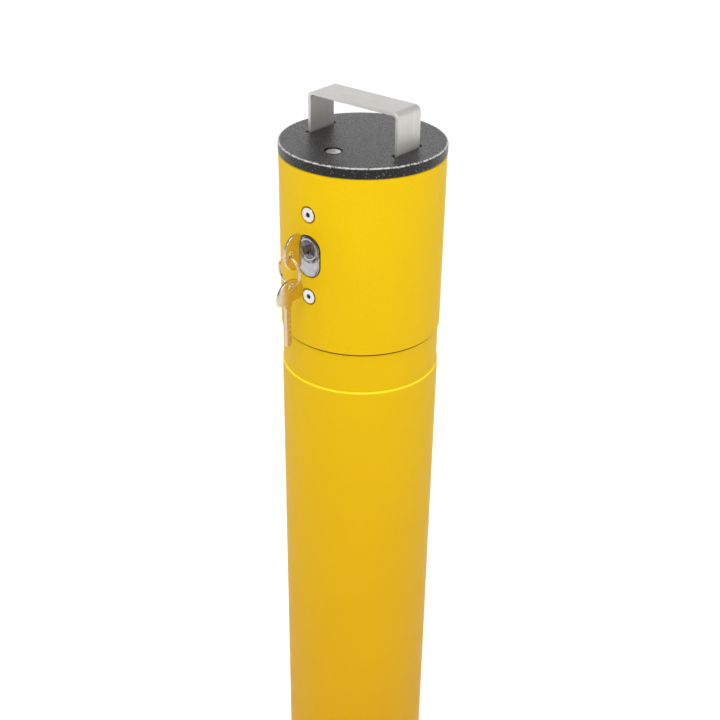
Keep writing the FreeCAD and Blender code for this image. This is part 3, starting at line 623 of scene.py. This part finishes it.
# ---- Head --------------------------------------------------------------------------------------
def head_sleeve():
    wall = 4 * MM
    inner = SLEEVE_R - wall
    corners = [(SLEEVE_R, SLEEVE_LOW_Z, 0.7 * MM), (SLEEVE_R, CAP_LOW_Z, 1.9 * MM),
               (inner, CAP_LOW_Z, 0.3 * MM), (inner, SLEEVE_LOW_Z, 0.3 * MM)]
    mesh = lathe("head_sleeve_coated", corners, 256)
    gap = 1.1 * MM
    cylinder_low, cylinder_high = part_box("lock_cylinder")
    opening_w = cylinder_high.x - cylinder_low.x + 2 * gap
    opening_h = cylinder_high.z - cylinder_low.z + 2 * gap
    opening = prism("opening", obround(opening_w, opening_h), 0, 0.06)
    placed(opening, along_front(Vector((0, -0.03, LOCK.z))))
    cutters = [opening]
    hole_r = 3.5 * MM
    sink_r = 7.6 * MM
    for height in lock_screw_heights():
        sink = lathe("sink", [(0, -8 * MM, 0), (hole_r, -8 * MM, 0), (hole_r, -5 * MM, 0),
                              (sink_r, -1.6 * MM, 0), (sink_r, 1 * MM, 0), (0, 1 * MM, 0)], 64)
        placed(sink, along_front(Vector((0, -SLEEVE_R, height))))
        cutters.append(sink)
    mesh = cut(mesh, cutters, 0.3 * MM)
    add_piece("head_sleeve_coated", mesh, "head", YELLOW, ["head_sleeve"])


def lock_screw_heights():
    screws_low, screws_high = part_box("lock_screws")
    head_r = high("lock_screws").x
    return [screws_low.z + head_r, screws_high.z - head_r]


def top_cap():
    lip_out = SLEEVE_R - 4.1 * MM
    lip_in = lip_out - 4 * MM
    lip_z = low("top_cap").z
    corners = [(0, CAP_LOW_Z, 0), (lip_in, CAP_LOW_Z, 0), (lip_in, lip_z, 0.3 * MM),
               (lip_out, lip_z, 0.5 * MM), (lip_out, CAP_LOW_Z, 0), (CAP_R, CAP_LOW_Z, 0.8 * MM),
               (CAP_R, CAP_TOP_Z, 1.7 * MM), (0, CAP_TOP_Z, 0)]
    mesh = lathe("top_cap_coated", corners, 256, 7)
    below = CAP_LOW_Z - 0.01
    above = CAP_TOP_Z + 0.01
    leg_x = high("handle_bar").x - BAR_T / 2
    slot_w = 5.4 * MM
    slot_l = 37.2 * MM
    slots = [prism("slot", obround(slot_w, slot_l, x), below, above) for x in (-leg_x, leg_x)]
    screw_y = middle("cap_screw").y
    hole_r = 3.3 * MM
    seat_r = 7.6 * MM
    seat = lathe("seat", [(0, below, 0), (hole_r, below, 0), (hole_r, CAP_SEAT_Z, 0),
                          (seat_r, CAP_SEAT_Z, 0), (seat_r, above, 0), (0, above, 0)], 64)
    placed(seat, Matrix.Translation((0, screw_y, 0)))
    mesh = cut(mesh, slots + [seat], 0.35 * MM)
    add_piece("top_cap_coated", mesh, "head", BLACK, ["top_cap"])


def socket_cutter(depth, face_z, turn):
    """Cuts a hexagon socket down from a screw's face. The turn is in degrees."""
    corner_r = SOCKET_AF / math.sqrt(3)
    turns = (math.radians(60 * i + turn) for i in range(6))
    corners = [(corner_r * math.cos(t), corner_r * math.sin(t)) for t in turns]
    return prism("socket", corners, face_z - depth, face_z + 1 * MM)


def cap_screw():
    tip_z = CAP_SEAT_Z - 18 * MM
    top_z = high("cap_screw").z
    head_r = 6.5 * MM
    corners = [(0, tip_z, 0), (SCREW_R, tip_z, 0.5 * MM), (SCREW_R, CAP_SEAT_Z, 0.2 * MM),
               (head_r, CAP_SEAT_Z, 0.3 * MM), (head_r, top_z, 0.8 * MM), (0, top_z, 0)]
    mesh = lathe("cap_screw_turned", corners, 96)
    mesh = cut(mesh, [socket_cutter(1.3 * MM, top_z, 17)], 0.15 * MM)
    placed(mesh, Matrix.Translation((0, middle("cap_screw").y, 0)))
    add_piece("cap_screw_turned", mesh, "head", STAINLESS, ["cap_screw"])


def lock_screws():
    """The two countersunk screws above and below the lock. Their sockets stand at different turns."""
    length = 24 * MM
    head_r = 6.6 * MM
    head_depth = head_r - SCREW_R
    corners = [(0, -length, 0), (SCREW_R, -length, 0.5 * MM), (SCREW_R, -head_depth, 0.2 * MM),
               (head_r, 0, 0.35 * MM), (0, 0, 0)]
    joined = bmesh.new()
    for height, turn in zip(lock_screw_heights(), (8, 41)):
        mesh = lathe("screw", corners, 96)
        mesh = cut(mesh, [socket_cutter(2.6 * MM, 0, turn)], 0.15 * MM)
        placed(mesh, along_front(Vector((0, low("lock_screws").y, height))))
        joined.from_mesh(mesh)
    mesh = mesh_from(joined, "lock_screws_turned")
    add_piece("lock_screws_turned", mesh, "head", SIDE_SCREWS, ["lock_screws"])


def lock_cylinder():
    """The obround lock body, with a coned shoulder round the bore that holds the plug."""
    body_low, body_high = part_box("lock_cylinder")
    width = body_high.x - body_low.x
    height = body_high.z - body_low.z
    depth = body_high.y - body_low.y
    bore_r = 8.08 * MM
    plug_offset = PLUG.z - LOCK.z
    outline = obround(width, height, count=32)
    bore = circle(bore_r, 0, plug_offset, 72)
    mesh = extruded("lock_cylinder_plated", outline, -depth, 0, [bore], 0.45 * MM)
    rim_r = 9.2 * MM
    foot_r = 11 * MM
    shoulder = lathe("shoulder", [(bore_r, -1 * MM, 0), (bore_r, 0.75 * MM, 0.25 * MM),
                                  (rim_r, 0.6 * MM, 0.5 * MM), (foot_r, 0.02 * MM, 0.2 * MM),
                                  (foot_r, -1 * MM, 0)], 96)
    placed(shoulder, Matrix.Translation((0, plug_offset, 0)))
    joined = bmesh.new()
    joined.from_mesh(mesh)
    joined.from_mesh(shoulder)
    mesh = mesh_from(joined, "lock_cylinder_plated")
    placed(mesh, along_front(Vector((0, body_low.y, LOCK.z))))
    add_piece("lock_cylinder_plated", mesh, "head", SATIN, ["lock_cylinder"])


def lock_plug():
    """The plug, with a low domed face round its keyway."""
    plug_low, plug_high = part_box("lock_plug")
    depth = plug_high.y - plug_low.y
    radius = plug_high.x
    dome_steps = 8
    dome_rise = 0.9 * MM
    corners = [(0, -depth, 0), (radius, -depth, 0.3 * MM)]
    for step in range(dome_steps + 1):
        share = 1 - step / dome_steps
        corners.append((radius * share, dome_rise * (1 - share * share) - 0.3 * MM, 0))
    mesh = lathe("lock_plug_plated", corners, 96, 3)
    half_w = 1.4 * MM
    half_h = 3.8 * MM
    outline = [(-half_w, -half_h), (half_w, -half_h), (half_w, half_h), (-half_w, half_h)]
    keyway = prism("keyway", outline, 1 * MM - depth, 2 * MM)
    mesh = cut(mesh, [keyway], 0.12 * MM)
    placed(mesh, along_front(Vector((0, plug_low.y, PLUG.z))))
    add_piece("lock_plug_plated", mesh, "plug_group", CHROME, ["lock_plug"])


# ---- Handle ------------------------------------------------------------------------------------
def bar_section(width, thickness, corner):
    """A flat bar's rounded section: (across the thickness, across the width)."""
    half_t = thickness / 2
    half_w = width / 2
    return [tuple(p) for p in rounded([(half_t, -half_w, corner), (half_t, half_w, corner),
                                       (-half_t, half_w, corner), (-half_t, -half_w, corner)], 4)]


def handle_bar():
    bar_low, bar_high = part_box("handle_bar")
    bend_r = 4 * MM
    side_x = bar_high.x - BAR_T / 2
    crown_z = bar_high.z - BAR_T / 2
    bend_steps = 10
    leg_z = bar_low.z + 30 * MM
    centres = [Vector((-side_x, 0, bar_low.z)), Vector((-side_x, 0, leg_z))]
    normals = [Vector((-1, 0, 0))] * 2
    for side in (-1, 1):
        for step in range(bend_steps + 1):
            share = step / bend_steps
            turn = math.radians(90) * (share if side < 0 else 1 - share)
            outward = Vector((side * math.cos(turn), 0, math.sin(turn)))
            centres.append(Vector((side * (side_x - bend_r), 0, crown_z - bend_r)) + outward * bend_r)
            normals.append(outward)
    centres += [Vector((side_x, 0, leg_z)), Vector((side_x, 0, bar_low.z))]
    normals += [Vector((1, 0, 0))] * 2
    sides = [Vector((0, 1, 0))] * len(centres)
    section = bar_section(width=bar_high.y - bar_low.y, thickness=BAR_T, corner=0.35 * MM)
    mesh = sweep("handle_bar_brushed", centres, normals, sides, section)
    length_coordinates(mesh, centres)
    add_piece("handle_bar_brushed", mesh, "lift_handle", BRUSHED, ["handle_bar"])


def length_coordinates(mesh, centres):
    """Gives the bar a UV map: the way along it, and the way across it, in metres."""
    travelled = [0.0]
    for first, second in zip(centres, centres[1:]):
        travelled.append(travelled[-1] + (second - first).length)
    layer = mesh.uv_layers.new(name="along_and_across")
    nearest = []
    for vertex in mesh.vertices:
        flat = Vector((vertex.co.x, 0, vertex.co.z))
        index = min(range(len(centres)), key=lambda i: (centres[i] - flat).length)
        nearest.append(travelled[index])
    for loop in mesh.loops:
        co = mesh.vertices[loop.vertex_index].co
        layer.data[loop.index].uv = (nearest[loop.vertex_index], co.y)


# ---- Keys and ring -----------------------------------------------------------------------------
def key_outline():
    """The key's outline with its hole at the origin and its blade along +Y."""
    half_bow = (high("key").z - low("key").z) / 2
    bow_length = 20 * MM
    shoulder_length = 6.3 * MM
    bow_end = bow_length - KEY_HOLE_EDGE
    dome_y = bow_end - shoulder_length
    dome_rise = dome_y + KEY_HOLE_EDGE
    dome_steps = 48
    corners = []
    for step in range(dome_steps + 1):
        angle = -math.pi * step / dome_steps
        corners.append((half_bow * math.cos(angle), dome_y + dome_rise * math.sin(angle), 0))
    middle_x = KEY_BLADE_OFFSET
    collar = 4.5 * MM
    blade = 3.3 * MM
    tip = 0.8 * MM
    collar_end = bow_end + 4 * MM
    tip_y = KEY_LENGTH - KEY_HOLE_EDGE
    corners += [(-half_bow, bow_end, 4 * MM), (middle_x - collar, bow_end, 0.8 * MM),
                (middle_x - collar, collar_end, 0.5 * MM), (middle_x - blade, collar_end, 0.3 * MM),
                (middle_x - blade, tip_y - 2.5 * MM, 0.6 * MM), (middle_x - tip, tip_y, 0.4 * MM),
                (middle_x + tip, tip_y, 0.4 * MM), (middle_x + blade, tip_y - 2.5 * MM, 0.6 * MM),
                (middle_x + blade, collar_end, 0.3 * MM), (middle_x + collar, collar_end, 0.5 * MM),
                (middle_x + collar, bow_end, 0.8 * MM), (half_bow, bow_end, 4 * MM)]
    return [tuple(point) for point in rounded(corners)], collar_end, tip_y


def key_mesh(name):
    """A flat dimple key lying in the XY plane, with milled grooves and dimples in its blade."""
    outline, collar_end, tip_y = key_outline()
    half_t = (high("key").x - low("key").x) / 2
    hole_r = 3 * MM
    mesh = extruded(name, outline, -half_t, half_t, [circle(hole_r, 0, 0, 40)], 0.35 * MM)
    cutters = []
    groove_half = 0.55 * MM
    first_dimple = 4
    dimple_pitch = 5.2
    for face in (-1, 1):
        groove_x = KEY_BLADE_OFFSET + 1.6 * MM * face
        floor_z = face * 0.6 * MM
        over_z = face * 2 * half_t
        groove = [(groove_x - groove_half, collar_end), (groove_x + groove_half, collar_end),
                  (groove_x + groove_half, tip_y + 1 * MM), (groove_x - groove_half, tip_y + 1 * MM)]
        cutters.append(prism("groove", groove, min(floor_z, over_z), max(floor_z, over_z)))
        turn = Matrix.Rotation(0 if face > 0 else math.pi, 4, "Y")
        for index in range(5):
            dimple = lathe("dimple", [(0, 0.45 * MM, 0), (1.0 * MM, 1.5 * MM, 0), (0, 1.5 * MM, 0)], 24)
            along = collar_end + (first_dimple + dimple_pitch * index + face) * MM
            place = Vector((KEY_BLADE_OFFSET - 1.2 * MM * face, along, 0))
            cutters.append(placed(dimple, Matrix.Translation(place) @ turn))
    return cut(mesh, cutters)


def keys():
    """The key in the lock, and the same key hanging from the ring, both on edge to the front."""
    stand_on_edge = Matrix.Rotation(math.radians(90), 4, "Y")
    inserted = placed(key_mesh("key_plated"), Matrix.Translation(KEY_HOLE) @ stand_on_edge)
    add_piece("key_plated", inserted, "inserted_key", NICKEL, ["key"])
    hang = Matrix.Rotation(math.radians(-90), 4, "X")
    spare = placed(key_mesh("spare_key_plated"), Matrix.Translation(SPARE_HOLE) @ hang @ stand_on_edge)
    add_piece("spare_key_plated", spare, "hanging_key", NICKEL, ["spare_key"])


def split_ring():
    """A two-turn ring of flat wire, whose turns step over each other beside its ends."""
    ring_low, ring_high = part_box("split_ring")
    centre = (ring_low + ring_high) / 2
    wire = 0.9 * MM
    radius = (ring_high.z - ring_low.z) / 2 - wire
    yaw = Matrix.Rotation(RING_YAW, 3, "Z")
    across = yaw @ Vector((1, 0, 0))
    axis = yaw @ Vector((0, 1, 0))
    half_pitch = 0.45 * MM
    step_half = 0.3
    start = 0.12
    ends_at = 2.6
    steps = 240
    centres, normals = [], []
    for i in range(steps + 1):
        angle = start + (4 * math.pi - 2 * start) * i / steps
        share = min(max((angle - (2 * math.pi - step_half)) / (2 * step_half), 0), 1)
        layer = half_pitch * (2 * (share * share * (3 - 2 * share)) - 1)
        turn = angle + ends_at
        outward = across * math.cos(turn) + Vector((0, 0, 1)) * math.sin(turn)
        centres.append(centre + outward * radius + axis * layer)
        normals.append(outward)
    section = bar_section(width=0.9 * MM, thickness=1.2 * MM, corner=0.2 * MM)
    mesh = sweep("split_ring_plated", centres, normals, [axis] * len(centres), section)
    add_piece("split_ring_plated", mesh, "key_ring", NICKEL, ["split_ring"])


# ---- Stage, light and camera -------------------------------------------------------------------
def around(azimuth, elevation, distance, aim):
    """A point at a distance from aim. Azimuth 0 is in front, and grows towards +X."""
    a = math.radians(azimuth)
    e = math.radians(elevation)
    return aim + distance * Vector((math.sin(a) * math.cos(e), -math.cos(a) * math.cos(e), math.sin(e)))


def stage_floor():
    bm = bmesh.new()
    bmesh.ops.create_grid(bm, x_segments=2, y_segments=2, size=30)
    mesh = mesh_from(bm, "floor")
    floor = bpy.data.objects.new("floor", mesh)
    bpy.context.scene.collection.objects.link(floor)
    paint = Paint("pale_floor", 0.9)
    cloud = paint.span(paint.noise(3, 3), 0, 1)
    paint.colour(paint.mixed(cloud, (0.95, 0.95, 0.95), (0.97, 0.97, 0.97)))
    mesh.materials.append(paint.material)


def soft_box(name, azimuth, elevation, distance, size, power):
    """A rectangular studio light that faces the head."""
    aim = Vector((0, 0, 0.9))
    data = bpy.data.lights.new(name, "AREA")
    data.shape = "RECTANGLE"
    data.size, data.size_y = size
    data.energy = power
    lamp = bpy.data.objects.new(name, data)
    bpy.context.scene.collection.objects.link(lamp)
    lamp.visible_camera = False
    lamp.location = around(azimuth, elevation, distance, aim)
    lamp.rotation_mode = "QUATERNION"
    lamp.rotation_quaternion = (aim - lamp.location).to_track_quat("-Z", "Y")


def broad_light(azimuth, elevation, strength, angle):
    """Even light from a wide patch of the ceiling, which also whitens the floor."""
    data = bpy.data.lights.new("ceiling_light", "SUN")
    data.energy = strength
    data.angle = math.radians(angle)
    lamp = bpy.data.objects.new("ceiling_light", data)
    bpy.context.scene.collection.objects.link(lamp)
    lamp.rotation_mode = "QUATERNION"
    toward = around(azimuth, elevation, 1, Vector((0, 0, 0)))
    lamp.rotation_quaternion = (-toward).to_track_quat("-Z", "Y")


def studio_world():
    """White at the horizon and greyer overhead."""
    world = bpy.data.worlds.new("studio")
    bpy.context.scene.world = world
    world.use_nodes = True
    tree = world.node_tree
    background = tree.nodes["Background"]
    direction = tree.nodes.new("ShaderNodeTexCoord").outputs["Generated"]
    separate = tree.nodes.new("ShaderNodeSeparateXYZ")
    tree.links.new(direction, separate.inputs["Vector"])
    fade = tree.nodes.new("ShaderNodeValToRGB")
    stops = fade.color_ramp.elements
    stops[1].position = 0.6
    stops[1].color = (0.30, 0.30, 0.30, 1)
    stops[0].position = 0.09
    stops[0].color = (1, 1, 1, 1)
    shoulder = stops.new(0.17)
    shoulder.color = (0.52, 0.52, 0.52, 1)
    tree.links.new(separate.outputs["Z"], fade.inputs["Fac"])
    tree.links.new(fade.outputs["Color"], background.inputs["Color"])


def studio_light():
    studio_world()
    broad_light(azimuth=15, elevation=76, strength=2.45, angle=42)
    soft_box("head_light", azimuth=26, elevation=40, distance=1.25, size=(0.45, 0.45), power=5)
    soft_box("back_light", azimuth=218, elevation=12, distance=1.9, size=(1.4, 0.5), power=2.6)
    soft_box("side_light", azimuth=100, elevation=30, distance=1.6, size=(0.8, 1.0), power=5.5)


def camera():
    azimuth = 38.6
    pitch = 29.62
    roll = 0.80
    distance = 0.9387
    rise = 0.3236
    data = bpy.data.cameras.new("camera")
    data.sensor_width = 36
    data.lens = 59.17
    data.clip_start = 0.05
    cam = bpy.data.objects.new("camera", data)
    bpy.context.scene.collection.objects.link(cam)
    place = around(azimuth, 0, distance, Vector((0, 0, CAP_TOP_Z + rise)))
    forward = -around(azimuth, pitch, 1, Vector((0, 0, 0)))
    level_right = forward.cross(Vector((0, 0, 1))).normalized()
    level_up = level_right.cross(forward)
    turn = math.radians(roll)
    right = level_right * math.cos(turn) + level_up * math.sin(turn)
    up = right.cross(forward)
    turned = Matrix((right, up, -forward)).transposed()
    cam.matrix_world = Matrix.Translation(place) @ turned.to_4x4()
    bpy.context.scene.camera = cam


finish_cad_nodes()
post_tube()
neck_collar()
base_plate()
spigot_ring()
head_sleeve()
top_cap()
cap_screw()
lock_screws()
lock_cylinder()
lock_plug()
handle_bar()
keys()
split_ring()
stage_floor()
studio_light()
camera()
bpy.context.scene.view_settings.view_transform = "Standard"
